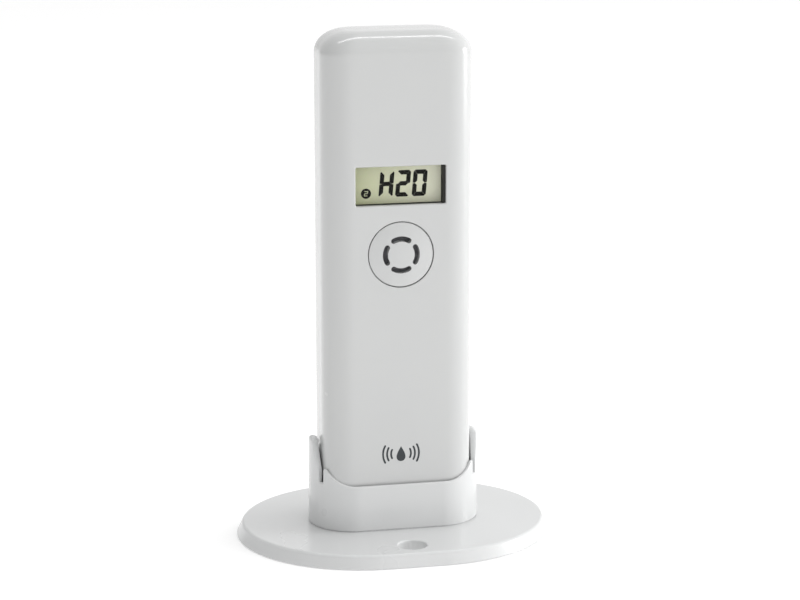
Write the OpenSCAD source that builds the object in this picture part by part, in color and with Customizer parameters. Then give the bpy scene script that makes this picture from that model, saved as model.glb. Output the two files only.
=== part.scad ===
// Wireless temperature and water-alarm transmitter standing in an oval foot.
// Millimetres, +Z up, front of the object towards -Y. The origin is the middle
// of the foot, on the surface it stands on, below the axis of the casing.

/* [Casing] */
// Width of the transmitter casing
case_w = 40.5; // [38:0.5:44]
// Depth of the transmitter casing
case_d = 21; // [20:0.5:24]
// Height of the transmitter casing
case_h = 129; // [124:1:136]
// Radius of the four upright edges
upright_r = 8; // [6:0.5:9]
// Radius of the top corners, seen from the front
crown_r = 8; // [5:0.5:10]
// Radius of the top edges, seen from the side
brow_r = 5.5; // [3:0.5:7]
// Radius of the bottom edges
sole_r = 3; // [2:0.5:4]
// Wall of the two case halves
wall = 1.6; // [1.4:0.1:1.8]

/* [Display] */
// Width of the display opening
display_w = 24; // [20:0.5:26]
// Height of the display opening
display_h = 10.2; // [8:0.2:12]
// Height of the display's middle above the table
display_z = 97; // [94:0.5:100]

/* [Sensor grille] */
// Radius of the round opening for the grille
grille_r = 8.85; // [8:0.05:9.5]
// Height of the grille's middle above the table
grille_z = 78.7; // [77:0.1:80]
// Outer radius of the ring of slots
slot_r = 4.95; // [4:0.05:5.3]
// Width of a slot
slot_w = 1.4; // [0.8:0.1:1.6]
// Angle that one slot spans, end to end
slot_span = 76; // [50:1:78]

/* [Holder] */
// Half width of the cup, outside
cup_w = 23.2; // [23.2:0.1:25]
// Half depth of the cup, outside
cup_d = 12.1; // [12:0.1:14]
// Wall of the cup
cup_wall = 1.1; // [0.9:0.1:1.1]
// Height of the cup's front and back rim
rim_z = 16.2; // [14:0.1:18]
// Height of the four points beside the clips
point_z = 20.3; // [18:0.1:22]
// Height of the two spring clips
clip_z = 27.5; // [26:0.1:30]

/* [Foot] */
// Half width of the foot at the table
foot_w = 42.7; // [40:0.1:46]
// Half depth of the foot at the table
foot_d = 33; // [31:0.1:36]
// Height of the foot plate's top
foot_z = 3.65; // [3.4:0.05:4.2]
// Radius of the two screw holes
hole_r = 3.75; // [2:0.05:4]
// Distance from the middle to each screw hole
hole_y = 24.9; // [22:0.1:26]

/* [Hidden] */
$fn = 64;

// Casing
case_z = 8;
case_top = case_z + case_h;
front_y = -case_d / 2;
back_y = case_d / 2;
inner_front = front_y + wall;
inner_back = back_y - wall;
parting_gap = 0.1;
lip_t = 0.7;
lip_h = 1;
lip_play = 0.1;

// Circuit board and the stack in front of it
board_t = 1.6;
board_front = -2.6;
board_back = board_front + board_t;
board_w = 33.6;
board_bottom = grille_z - 7.7;
board_top = 126;
board_notch = [4.6, 5.2];
post_r = 2;
post_places = [[-14.2, 84.5], [14.2, 84.5], [-14, 111], [14, 111]];
board_screw_r = 1;

// Display stack
window_t = 0.8;
window_front = front_y + 2.6;
glass_t = 2.6;
glass_front = window_front + window_t + 0.1;
glass_size = [26.4, 13];
frame_size = [29.6, 16];
strip_h = 1.8;

// Case screws
case_screw_r = 1.25;
case_screw_head_r = 2.1;
case_screw_places = [[-14, 130.5], [14, 130.5], [-15.4, 73.2], [15.4, 73.2]];
front_boss_r = 2.3;
back_boss_r = 2.6;
head_seat_y = 4;

// Battery bay: a box that is open at the back
cell_r = 7.1;
cell_l = 50.5;
cell_x = 7.4;
cell_y = 1;
bay_wall = 1.2;
bay_w = 14.8;
bay_low = 14.2;
bay_high = 68.4;
bay_front = cell_y - cell_r - 0.4;
plate_t = 0.4;
left_cell_z = bay_high - plate_t - 0.1 - cell_l;
right_cell_z = bay_low + plate_t + 0.1;

// Battery cover
cover_w = 15.4;
cover_low = 18.6;
cover_high = 69.4;
cover_t = 1.5;
cover_play = 0.2;
peg_size = [1.4, 2.8, 7];

// Rear openings
socket_x = -8;
button_x = 8;
opening_z = 82;
socket_nose_r = 2.7;
socket_bore_r = 1.3;
button_r = 2.2;
button_play = 0.25;

// Holder
cup_floor = 2;
cup_hollow_z = case_z - cup_floor;
slit_w = 1.4;
slit_y = 6;
slit_low = 16.5;
clip_top_y = 2.9;
nub_r = 1.2;
nub_play = 0.3;
foot_screw_x = 12;
foot_screw_r = 1.25;

// Foot
foot_slant = 1.6;
foot_straight = 7.3;
foot_gap = 0.12;
foot_skin = 2;
foot_rim = 2.2;
foot_edge_r = 0.9;
pad_r = 4;
pad_t = 1.25;
pad_places = [[-29, -13], [29, -13], [-29, 13], [29, 13]];

white = "#f1f2f2";
pale = "#e8eaea";
steel = "#c9ccd0";

// ---------- shared shapes ----------

// Rectangle with round corners, built from plain squares and circles.
module round_rect(w, h, r) {
    square([w - 2 * r, h], center = true);
    square([w, h - 2 * r], center = true);
    for (x = [-1, 1], y = [-1, 1])
        translate([x * (w / 2 - r), y * (h / 2 - r)]) circle(r);
}

// Upright outline that stands on y = 0, with different top and bottom corner radii.
module standing_rect(w, h, top_r, low_r) {
    translate([-w / 2, low_r]) square([w, h - low_r - top_r]);
    translate([-w / 2 + low_r, 0]) square([w - 2 * low_r, h / 2]);
    translate([-w / 2 + top_r, h / 2]) square([w - 2 * top_r, h / 2]);
    for (x = [-1, 1]) {
        translate([x * (w / 2 - low_r), low_r]) circle(low_r);
        translate([x * (w / 2 - top_r), h - top_r]) circle(top_r);
    }
}

// Extrudes a drawing in X and Z from y0 to y1.
module along_y(y0, y1) {
    translate([0, y1, 0]) rotate([90, 0, 0]) linear_extrude(y1 - y0) children();
}

// Extrudes a drawing in Y and Z over the width w.
module along_x(w) {
    translate([-w / 2, 0, 0]) rotate([90, 0, 90]) linear_extrude(w) children();
}

// A round bar along Y.
module bar_y(x, z, y0, y1, r) {
    translate([x, y1, z]) rotate([90, 0, 0]) cylinder(r = r, h = y1 - y0);
}

// A straight-sided block between two corners.
module block(low, high) {
    translate(low) cube(high - low);
}

// Casing form, drawn in by inset on every side.
module casing_form(inset) {
    h = case_h - 2 * inset;
    intersection() {
        translate([0, 0, case_z + inset]) linear_extrude(h)
            round_rect(case_w - 2 * inset, case_d - 2 * inset, upright_r - inset);
        translate([0, 0, case_z + inset]) along_y(-case_d, case_d)
            standing_rect(case_w - 2 * inset, h, crown_r - inset, sole_r - inset / 2);
        translate([0, 0, case_z + inset]) along_x(case_w + 2)
            standing_rect(case_d - 2 * inset, h, brow_r - inset, sole_r - inset / 2);
    }
}

// Front outline of the casing, drawn in by inset.
module casing_outline(inset) {
    translate([0, case_z + inset])
        standing_rect(case_w - 2 * inset, case_h - 2 * inset, crown_r - inset, sole_r - inset / 2);
}

// Outline with two straight sides and two half-round ends.
module stadium(half_w, half_d) {
    square([2 * (half_w - half_d), 2 * half_d], center = true);
    for (x = [-1, 1]) translate([x * (half_w - half_d), 0]) circle(half_d);
}

// Half-ellipse ends on a short straight middle, as points.
function foot_outline(a, b, steps = 72) = [
    for (i = [0 : steps - 1])
        let (t = 360 * (i + 0.5) / steps, s = cos(t) < 0 ? -1 : 1)
        [s * foot_straight + (a - foot_straight) * cos(t), b * sin(t)]
];

// Round wire along a helix about Z: rings of side corners, one after another.
function helix_ring(c, turn, wire_r, sides) = [
    for (k = [0 : sides - 1])
        let (a = 360 * k / sides)
        [(c[0] + wire_r * cos(a)) * cos(turn), (c[0] + wire_r * cos(a)) * sin(turn), c[1] + wire_r * sin(a)]
];

module helix_wire(r0, r1, z0, z1, turns, wire_r, steps = 12, sides = 6) {
    n = turns * steps;
    points = [for (i = [0 : n]) each helix_ring(
        [r0 + (r1 - r0) * i / n, z0 + (z1 - z0) * i / n], 360 * i / steps, wire_r, sides)];
    skin = [for (i = [0 : n - 1], k = [0 : sides - 1])
        let (a = i * sides + k, b = i * sides + (k + 1) % sides)
        each [[a, a + sides, b + sides], [a, b + sides, b]]];
    first = [for (k = [0 : sides - 1]) k];
    last = [for (k = [sides - 1 : -1 : 0]) n * sides + k];
    polyhedron(points, concat(skin, [first, last]));
}

// ---------- foot and holder ----------

// Foot slice: the outline drawn in by inset, as a thin sheet at height z.
module foot_slice(z, inset) {
    translate([0, 0, z]) linear_extrude(0.02)
        polygon(foot_outline(foot_w - inset, foot_d - inset));
}

module foot_body() {
    hull() {
        foot_slice(foot_gap, 0);
        for (a = [0 : 22.5 : 90])
            foot_slice(foot_z - foot_edge_r * (1 - sin(a)) - 0.02,
                foot_slant * (foot_z - foot_edge_r) / foot_z + foot_edge_r * (1 - cos(a)));
    }
}

module foot_plate() {
    color(white) difference() {
        union() {
            difference() {
                foot_body();
                translate([0, 0, -1]) linear_extrude(foot_z - foot_skin + 1)
                    polygon(foot_outline(foot_w - foot_slant - foot_rim, foot_d - foot_slant - foot_rim));
            }
            for (p = pad_places) translate([p[0], p[1], foot_gap])
                cylinder(r = pad_r + 1.2, h = foot_z - foot_gap - 0.5);
            for (y = [-1, 1]) translate([0, y * hole_y, foot_gap])
                cylinder(r = hole_r + 1.5, h = foot_z - foot_gap - 0.5);
        }
        for (y = [-1, 1]) translate([0, y * hole_y, -1]) cylinder(r = hole_r, h = foot_z + 2);
        for (x = [-1, 1]) translate([x * foot_screw_x, 0, -1])
            cylinder(r = foot_screw_r + 0.25, h = foot_z + 2);
        for (p = pad_places) translate([p[0], p[1], -1]) cylinder(r = pad_r + 0.05, h = 1 + pad_t);
    }
}

module foot_pads() {
    color("#9a9c9e") for (p = pad_places) translate([p[0], p[1], 0]) cylinder(r = pad_r, h = pad_t);
}

module foot_screws() {
    head_z = foot_z - foot_skin;
    color(steel) for (x = [-1, 1]) translate([x * foot_screw_x, 0, 0]) {
        difference() {
            translate([0, 0, head_z - 1.25]) cylinder(r = 2.4, h = 1.25);
            for (turn = [0, 90]) rotate(turn) block([-1.5, -0.3, head_z - 1.4], [1.5, 0.3, head_z - 0.6]);
        }
        translate([0, 0, head_z]) cylinder(r = foot_screw_r, h = 5);
    }
}

// What is cut away above the cup's front or back rim, seen from the front: flat over
// the rim, a concave sweep up to each point, then nothing left above the points.
module rim_cut() {
    sweep_r = 9;
    flat_x = 12.6;
    difference() {
        translate([-30, rim_z]) square([60, 20]);
        for (x = [-1, 1]) difference() {
            translate([x < 0 ? -30 : flat_x, rim_z]) square([30 - flat_x, point_z - rim_z]);
            translate([x * flat_x, rim_z + sweep_r]) circle(sweep_r);
        }
    }
}

// Side view of what is left of the clips above the points: a blade that narrows
// upwards along two arcs and ends in a rounded tip.
module clip_blade() {
    tip_r = 1.4;
    low_y = slit_y - 0.2;
    intersection() {
        translate([-slit_y, slit_low]) square([2 * slit_y, clip_z - slit_low]);
        hull() {
            for (y = [-1, 1]) {
                translate([y * (clip_top_y - tip_r), clip_z - tip_r]) circle(tip_r);
                translate([y * (clip_top_y + 0.7 - tip_r), clip_z - 2.8]) circle(tip_r);
                translate([y * (low_y - tip_r), point_z]) circle(tip_r);
            }
            translate([-low_y - 0.5, slit_low - 1]) square([2 * low_y + 1, 1]);
        }
    }
}

module holder_cup() {
    inner_w = cup_w - cup_wall;
    inner_d = cup_d - cup_wall;
    color(pale) difference() {
        union() {
            difference() {
                translate([0, 0, foot_z]) linear_extrude(point_z - foot_z) stadium(cup_w, cup_d);
                translate([0, 0, case_z]) linear_extrude(clip_z) stadium(inner_w, inner_d);
                for (y = [[-20, -slit_y - slit_w], [slit_y + slit_w, 20]]) along_y(y[0], y[1]) rim_cut();
                block([-30, -slit_y - slit_w - 0.01, slit_low], [30, slit_y + slit_w + 0.01, 40]);
            }
            intersection() {
                difference() {
                    translate([0, 0, slit_low - 0.01]) linear_extrude(clip_z) stadium(cup_w, cup_d);
                    translate([0, 0, case_z]) linear_extrude(clip_z + 20) stadium(inner_w, inner_d);
                }
                along_x(60) clip_blade();
            }
            intersection() {
                translate([0, 0, case_z]) linear_extrude(clip_z) stadium(cup_w, cup_d);
                union() for (x = [-1, 1])
                    bar_y(x * (case_w / 2 + nub_play + nub_r), clip_z - nub_r - 0.1, -2.3, 2.3, nub_r);
            }
        }
        translate([0, 0, foot_z - 1]) linear_extrude(cup_hollow_z - foot_z + 1) difference() {
            stadium(inner_w - 0.5, inner_d - 0.5);
            for (x = [-1, 1]) translate([x * foot_screw_x, 0]) circle(3.4);
        }
        for (x = [-1, 1]) translate([x * foot_screw_x, 0, foot_z - 1])
            cylinder(r = foot_screw_r + 0.02, h = case_z - foot_z);
    }
}

// ---------- casing ----------

module front_case() {
    color(white) difference() {
        union() {
            intersection() {
                difference() { casing_form(0); casing_form(wall); }
                block([-40, -40, 0], [40, -parting_gap / 2, 200]);
            }
            along_y(-wall, lip_h) difference() {
                casing_outline(wall - lip_t);
                casing_outline(wall);
            }
            display_surround();
            bar_y(0, grille_z, inner_front - 0.2, inner_front + 1, grille_r + 1.3);
            intersection() {
                union() {
                    for (p = post_places) bar_y(p[0], p[1], front_y, board_front, post_r);
                    for (p = case_screw_places) bar_y(p[0], p[1], front_y, -parting_gap, front_boss_r);
                }
                casing_form(wall / 2);
            }
        }
        translate([0, 0, display_z]) block([-display_w / 2, -20, -display_h / 2],
            [display_w / 2, 0, display_h / 2]);
        bar_y(0, grille_z, -20, inner_front, grille_r);
        bar_y(0, grille_z, -20, 0, grille_r - 1.4);
        for (p = post_places) bar_y(p[0], p[1], board_front - 5.2, board_front + 1, board_screw_r + 0.02);
        for (p = case_screw_places) bar_y(p[0], p[1], -5.6, 1, case_screw_r + 0.02);
    }
}

// Wall round the display opening that the clear window is fixed to.
module display_surround() {
    along_y(inner_front - 0.2, window_front) translate([0, display_z])
        square([display_w + 2.4, display_h + 2.4], center = true);
}

module rear_case() {
    color(white) difference() {
        union() {
            intersection() {
                difference() { casing_form(0); casing_form(wall); }
                block([-40, parting_gap / 2, 0], [40, 40, 200]);
            }
            intersection() {
                union() {
                    battery_bay();
                    for (p = case_screw_places) bar_y(p[0], p[1], parting_gap, back_y, back_boss_r);
                }
                casing_form(wall / 2);
            }
        }
        along_y(0, lip_h + lip_play) difference() {
            casing_outline(wall - lip_t - lip_play);
            casing_outline(wall + 1);
        }
        cover_opening();
        for (p = case_screw_places) {
            bar_y(p[0], p[1], -1, back_y + 1, case_screw_r + 0.25);
            bar_y(p[0], p[1], head_seat_y, back_y + 1, case_screw_head_r + 0.3);
        }
        bar_y(socket_x, opening_z, inner_back - 1, back_y + 1, socket_nose_r + 0.15);
        bar_y(button_x, opening_z, inner_back - 1, back_y + 1, button_r + button_play);
        for (x = [-1, 1]) translate([x * cell_x, board_back + 0.3, bay_high])
            block([-2, -0.5, -1], [2, 0.5, bay_wall + 1]);
    }
}

// The walls of the battery bay, closed towards the circuit board.
module battery_bay() {
    difference() {
        block([-bay_w - bay_wall, bay_front - bay_wall, bay_low - bay_wall],
            [bay_w + bay_wall, inner_back + 0.2, bay_high + bay_wall]);
        block([-bay_w, bay_front, bay_low], [bay_w, back_y + 1, bay_high]);
    }
}

// What the cover and its play take out of the rear case.
module cover_opening() {
    block([-cover_w - cover_play, inner_back - 0.6, cover_low - cover_play],
        [cover_w + cover_play, back_y + 5, cover_high + cover_play]);
}

module battery_cover() {
    grip_n = 5;
    color(white) difference() {
        union() {
            intersection() {
                difference() {
                    casing_form(0);
                    casing_form(cover_t);
                }
                block([-cover_w, inner_back - 0.6, cover_low], [cover_w, back_y + 1, cover_high]);
            }
            for (x = [-1, 1], z = [cover_low + 4, cover_high - 4 - peg_size[2]])
                translate([x * (bay_w - 1.2) - peg_size[0] / 2, inner_back + 0.3 - peg_size[1], z])
                    cube([peg_size[0], peg_size[1], peg_size[2]]);
        }
        for (i = [0 : grip_n - 1])
            translate([0, back_y + 0.7, cover_high - 5 - 1.8 * i]) rotate([0, 90, 0])
                cylinder(r = 1, h = 12, center = true);
    }
}

module case_screws() {
    color(steel) for (p = case_screw_places) difference() {
        union() {
            bar_y(p[0], p[1], head_seat_y, head_seat_y + 1.4, case_screw_head_r);
            bar_y(p[0], p[1], -5, head_seat_y, case_screw_r);
        }
        for (turn = [0, 90]) translate([p[0], head_seat_y + 1.1, p[1]]) rotate([0, turn, 0])
            cube([2.6, 1, 0.5], center = true);
    }
}

// ---------- display ----------

module lcd_window() {
    color("#dfe6e4", 0.4) along_y(window_front, window_front + window_t) translate([0, display_z])
        round_rect(display_w + 3.4, display_h + 3.2, 0.6);
}

module lcd_glass() {
    color("#b9bd9c") along_y(glass_front, glass_front + glass_t) translate([0, display_z])
        square(glass_size, center = true);
}

module lcd_frame() {
    color("#e9e9e6") along_y(glass_front, board_front) translate([0, display_z]) difference() {
        round_rect(frame_size[0], frame_size[1], 1);
        square(glass_size + [0.3, 0.3], center = true);
    }
}

module contact_strips() {
    color("#3a3a3c") for (z = [-1, 1])
        translate([0, 0, display_z + z * (glass_size[1] / 2 - strip_h / 2 - 0.3)])
            block([-12, glass_front + glass_t, -strip_h / 2], [12, board_front, strip_h / 2]);
}

// ---------- sensor ----------

// One slot: part of a ring with rounded ends, centred on the angle 0.
module grille_slot() {
    mid_r = slot_r - slot_w / 2;
    half = slot_span / 2 - asin(slot_w / 2 / mid_r);
    intersection() {
        difference() {
            circle(slot_r);
            circle(slot_r - slot_w);
        }
        polygon([[0, 0], [2 * slot_r * cos(half), -2 * slot_r * sin(half)],
            [2 * slot_r * cos(half), 2 * slot_r * sin(half)]]);
    }
    for (s = [-1, 1]) rotate(s * half) translate([mid_r, 0]) circle(slot_w / 2 - 0.03);
}

module sensor_grille() {
    disc_front = front_y + 0.2;
    color(white) translate([0, 0, grille_z]) along_y(disc_front, inner_front) difference() {
        circle(grille_r - 0.2);
        for (turn = [0 : 90 : 270]) rotate(turn) grille_slot();
    }
}

module sensor_gasket() {
    color("#2d2f31") translate([0, 0, grille_z]) along_y(inner_front + 0.05, board_front - 0.05)
        difference() { circle(7.1); circle(5.7); }
}

// Thin open-cell foam behind the slots.
module dust_filter() {
    color("#4a4a4c") bar_y(0, grille_z, inner_front + 0.05, inner_front + 0.55, 5.6);
}

module humidity_sensor() {
    color("#1c1d1f") translate([0, 0, grille_z]) {
        block([-2.5, board_front - 1.3, -2.5], [2.5, board_front, 2.5]);
        bar_y(0, 0, board_front - 1.7, board_front - 1.2, 1.4);
    }
}

// ---------- electronics ----------

module circuit_board() {
    color("#2f6b46") along_y(board_front, board_back) difference() {
        translate([-board_w / 2, board_bottom]) square([board_w, board_top - board_bottom]);
        for (x = [-1, 1]) translate([x * board_w / 2, board_bottom])
            square([2 * board_notch[0], 2 * board_notch[1]], center = true);
        for (p = post_places) translate(p) circle(board_screw_r + 0.15);
    }
}

module board_screws() {
    color(steel) for (p = post_places) difference() {
        union() {
            bar_y(p[0], p[1], board_back, board_back + 1.2, 1.8);
            bar_y(p[0], p[1], board_back - 6, board_back, board_screw_r);
        }
        for (turn = [0, 90]) translate([p[0], board_back + 1, p[1]]) rotate([0, turn, 0])
            cube([2.2, 0.9, 0.4], center = true);
    }
}

module controller_chip() {
    color("#17181a") translate([0, board_back, 96]) rotate([-90, 0, 0]) rotate_extrude() intersection() {
        square([6, 1.7]);
        translate([0, -8]) circle(9.7);
    }
}

module radio_module() {
    color("#b9bcc0") translate([0, board_back, 110]) {
        block([-8, 0, -6], [8, 0.8, 6]);
        block([-6.5, 0.8, -4.5], [3, 2.8, 4.5]);
        block([4, 0.8, -3.5], [7, 2, 3.5]);
    }
}

module antenna_coil() {
    coil_r = 2.4;
    color("#b87842") translate([-8, board_back + coil_r + 0.5, 121]) rotate([0, 90, 0])
        helix_wire(coil_r, coil_r, 0, 16, 8, 0.4);
}

module probe_socket() {
    color("#232426") difference() {
        union() {
            translate([socket_x, 0, opening_z])
                block([-3.6, board_back, -3.6], [3.6, inner_back - 0.1, 3.6]);
            bar_y(socket_x, opening_z, inner_back - 0.2, back_y - 0.1, socket_nose_r);
        }
        bar_y(socket_x, opening_z, board_back + 1, back_y + 1, socket_bore_r);
    }
}

module button_switch() {
    color("#3b3d40") translate([button_x, 0, opening_z]) {
        block([-3, board_back, -3], [3, board_back + 3.2, 3]);
        bar_y(0, 0, board_back + 3, board_back + 3.6, 1.7);
    }
}

module send_button() {
    key_low = board_back + 4.2;
    color("#8e9194") {
        bar_y(button_x, opening_z, key_low, back_y - 0.3, button_r);
        bar_y(button_x, opening_z, key_low, key_low + 1.2, button_r + 0.9);
    }
}

// ---------- batteries ----------

// A cell standing on its flat end at z = 0, its raised end up.
module cell_form() {
    rotate_extrude() {
        square([cell_r - 0.6, cell_l - 1.2]);
        translate([0, 0.6]) square([cell_r, cell_l - 2.4]);
        translate([cell_r - 0.6, 0.6]) intersection() { circle(0.6); square([2, 2], center = true); }
        translate([cell_r - 0.6, cell_l - 1.8]) circle(0.6);
        square([2.7, cell_l]);
    }
}

module cell_left() {
    color("#3f6fa8") translate([-cell_x, cell_y, left_cell_z]) cell_form();
}

module cell_right() {
    color("#3f6fa8") translate([cell_x, cell_y, right_cell_z + cell_l]) mirror([0, 0, 1]) cell_form();
}

// Coned springs that push on the flat ends of the cells.
module contact_springs() {
    wire = 0.35;
    gap = 2 * wire;
    color(steel) {
        translate([-cell_x, cell_y, bay_low + plate_t + wire])
            helix_wire(3.6, 2.4, 0, left_cell_z - bay_low - plate_t - gap - 0.1, 2.5, wire);
        translate([cell_x, cell_y, bay_high - plate_t - wire]) mirror([0, 0, 1])
            helix_wire(3.6, 2.4, 0, bay_high - plate_t - right_cell_z - cell_l - gap - 0.1, 2.5, wire);
    }
}

module link_contact() {
    color(steel) translate([0, cell_y, bay_low]) block([-13, -5, 0], [13, 5, plate_t]);
}

// A square plate with a tongue that rises to the circuit board.
module terminal_form() {
    color(steel) {
        translate([0, cell_y, bay_high - plate_t]) block([-5, -5, 0], [5, 5, plate_t]);
        block([-1.5, board_back + 0.1, bay_high - 0.2], [1.5, board_back + 0.5, 77]);
    }
}

module plus_terminal() {
    translate([-cell_x, 0, 0]) terminal_form();
}

module minus_terminal() {
    translate([cell_x, 0, 0]) terminal_form();
}

foot_plate();
foot_pads();
foot_screws();
holder_cup();
front_case();
rear_case();
case_screws();
battery_cover();
lcd_window();
lcd_glass();
lcd_frame();
contact_strips();
sensor_grille();
dust_filter();
sensor_gasket();
humidity_sensor();
circuit_board();
board_screws();
controller_chip();
radio_module();
antenna_coil();
probe_socket();
button_switch();
send_button();
cell_left();
cell_right();
contact_springs();
link_contact();
plus_terminal();
minus_terminal();
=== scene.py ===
"""Looks of a wireless temperature and water-alarm transmitter in its oval foot.

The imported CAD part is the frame. The visible mouldings are built here as surfaces
worked out with numpy, in millimetres, and put into the frame in metres. The casing is
a tower of soft-cornered sections, the holder a wall that follows a rounded outline
with a varying rim height, and the foot a slab with a slanted rim.
"""

import math

import bpy
import numpy as np
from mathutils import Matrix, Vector


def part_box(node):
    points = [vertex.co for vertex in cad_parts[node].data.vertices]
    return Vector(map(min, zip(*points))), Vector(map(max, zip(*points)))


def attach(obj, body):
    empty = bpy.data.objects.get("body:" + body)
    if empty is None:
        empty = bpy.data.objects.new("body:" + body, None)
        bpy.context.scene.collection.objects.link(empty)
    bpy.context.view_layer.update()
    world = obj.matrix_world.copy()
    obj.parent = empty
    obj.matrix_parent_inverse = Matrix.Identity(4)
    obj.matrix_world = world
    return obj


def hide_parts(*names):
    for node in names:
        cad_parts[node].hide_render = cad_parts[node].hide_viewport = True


MM = 0.001
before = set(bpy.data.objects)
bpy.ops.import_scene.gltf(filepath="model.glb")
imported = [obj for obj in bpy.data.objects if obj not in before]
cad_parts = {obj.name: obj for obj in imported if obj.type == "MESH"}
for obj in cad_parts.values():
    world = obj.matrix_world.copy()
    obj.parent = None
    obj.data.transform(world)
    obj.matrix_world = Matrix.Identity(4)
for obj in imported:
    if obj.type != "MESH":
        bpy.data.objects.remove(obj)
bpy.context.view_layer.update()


def box_mm(node):
    """Lowest and highest corner of a CAD node, in millimetres."""
    low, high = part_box(node)
    return np.array(low) / MM, np.array(high) / MM


# ---------------------------------------------------------------- sizes, in mm

CASE_LOW, CASE_HIGH = box_mm("front_case")
CASE_W = CASE_HIGH[0]  # half width of the casing
CASE_D = -CASE_LOW[1]  # half depth of the casing
CASE_Z, CASE_TOP = CASE_LOW[2], CASE_HIGH[2]
WALL = 1.6
PARTING = 0.05  # half of the gap between the two case halves
CORNER = (8.6, 8.0)  # size of an upright edge's rounding, across and in depth
CORNER_POWER = 2.55  # 2 is a circle, more is squarer
CROWN = (8.0, 6.4)  # top corners seen from the front: across and up
BROW = 5.5  # rounding of the front and back top edges
TAPER = (0.42, 0.48)  # how much the corners tighten up to the top, across and in depth
SOLE = 2.6  # rounding of the bottom edges

WINDOW_LOW, WINDOW_HIGH = box_mm("lcd_window")
DISPLAY_Z = (WINDOW_LOW[2] + WINDOW_HIGH[2]) / 2
DISPLAY = (12.0, 5.1)  # half width and half height of the display opening
GLASS_LOW, GLASS_HIGH = box_mm("lcd_glass")

GRILLE_LOW, GRILLE_HIGH = box_mm("sensor_grille")
GRILLE_Z = (GRILLE_LOW[2] + GRILLE_HIGH[2]) / 2
GRILLE_R = GRILLE_HIGH[0]
GRILLE_GAP = 0.2  # ring gap round the disc
SLOT_R = 4.95  # outer radius of the arc slots
SLOT_W = 1.4
SLOT_SPAN = 76.0  # angle that each slot covers, in degrees

CUP_HIGH = box_mm("holder_cup")[1]
CUP_W, CUP_D = CUP_HIGH[0], CUP_HIGH[1]
CUP_WALL = 1.1
CLIP_Z = CUP_HIGH[2]
RIM_Z = 16.2  # height of the front and back rim
POINT_Z = 20.3  # height of the points beside the slits
SLIT_Z = 16.5  # where the slits end
SLIT_Y = (6.0, 7.4)  # a slit's two sides, in depth from the middle

FOOT_LOW, FOOT_HIGH = box_mm("foot_plate")
FOOT_W, FOOT_D = FOOT_HIGH[0], FOOT_HIGH[1]
FOOT_Z = FOOT_HIGH[2]
FOOT_SLANT = 1.6  # how far the rim leans in
FOOT_EDGE = 0.9  # rounding of the top edge
FOOT_STRAIGHT = 7.3  # half of the straight part between the two half ellipses
FOOT_RIM = 3.8  # the leaning rim and its wall, measured inwards
FOOT_SKIN = 2.0
FOOT_SOLE = 0.25  # rounding of the bottom edge
HOLE_R = 3.75
HOLE_Y = 24.9
HOLE_EDGE = 0.5
PAD_X = 29
PAD_Y = 13
PAD_RECESS = 1.25
FOOT_SCREW_X = (-12, 12)
FOOT_SCREW_R = 1.5

COVER_LOW, COVER_HIGH = box_mm("battery_cover")

# ---------------------------------------------------------------- surfaces


def solid(rings):
    """Closed skin over stacked rings, an array (rows, points, 3): quads join each ring
    to the next, and a flat face closes the first and the last. Rings run anticlockwise
    as seen from the side that the stack grows towards."""
    rows, count = rings.shape[:2]
    row = np.arange(rows - 1)[:, None] * count
    here = np.arange(count)[None, :]
    after = (here + 1) % count
    quads = np.stack([row + here, row + after, row + count + after, row + count + here], -1)
    faces = quads.reshape(-1, 4).tolist()
    faces.append(list(range(count - 1, -1, -1)))
    faces.append(list(range((rows - 1) * count, rows * count)))
    return rings.reshape(-1, 3), faces


def soft_section(half_x, half_y, corner_x, corner_y, power, steps):
    """Outlines of a box with soft corners, one for each entry of half_x: every corner is
    a quarter of |x / corner_x|^power + |y / corner_y|^power = 1, set into the corner of
    the box, and straight sides join the quarters. Returns arrays x and y."""
    turn = np.linspace(0, np.pi / 2, steps)
    quarter_x = np.cos(turn) ** (2 / power)
    quarter_y = np.sin(turn) ** (2 / power)
    x = np.asarray(half_x)[:, None] + np.asarray(corner_x)[:, None] * (quarter_x - 1)
    y = np.asarray(half_y)[:, None] + np.asarray(corner_y)[:, None] * (quarter_y - 1)
    x = np.concatenate([x, -x[:, ::-1], -x, x[:, ::-1]], 1)
    y = np.concatenate([y, y[:, ::-1], -y, -y[:, ::-1]], 1)
    return x, y


def quarter_rise(height, radius):
    """How far an edge rounded with this radius has drawn in at a height above the start
    of the rounding: radius - sqrt(radius^2 - height^2)."""
    up = np.clip(height, 0, radius)
    return radius - np.sqrt(radius * radius - up * up)


def tower(inset):
    """The casing as rings of soft-cornered sections, all drawn in by inset. Towards the
    top the half width follows a quarter ellipse and the half depth a quarter circle,
    and towards the bottom both follow a quarter circle."""
    turn = np.linspace(0, np.pi / 2, 22)
    crown_x = CROWN[0] - inset / 2
    crown_z = CROWN[1] - inset / 2
    sole = SOLE - inset / 2
    low_z = CASE_Z + inset + sole * (1 - np.cos(turn[::3]))
    low_in = sole * (1 - np.sin(turn[::3]))
    top_z = CASE_TOP - inset - crown_z * (1 - np.sin(turn))
    top_in = crown_x * (1 - np.cos(turn))
    brow = BROW - inset / 2
    brow_in = quarter_rise(top_z - (CASE_TOP - inset - brow), brow)
    z = np.concatenate([low_z, top_z])
    draw_x = np.concatenate([low_in, top_in])
    draw_y = np.concatenate([low_in, brow_in])
    half_x = CASE_W - inset - draw_x
    half_y = CASE_D - inset - draw_y
    corner_x = (CORNER[0] - inset) * (1 - TAPER[0] * draw_x / crown_x)
    corner_y = (CORNER[1] - inset) * (1 - TAPER[1] * draw_y / brow)
    corner_y = np.minimum(corner_y, half_y - 0.05)
    x, y = soft_section(half_x, half_y, corner_x, corner_y, CORNER_POWER, 22)
    return solid(np.stack([x, y, np.broadcast_to(z[:, None], x.shape)], -1))


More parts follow.
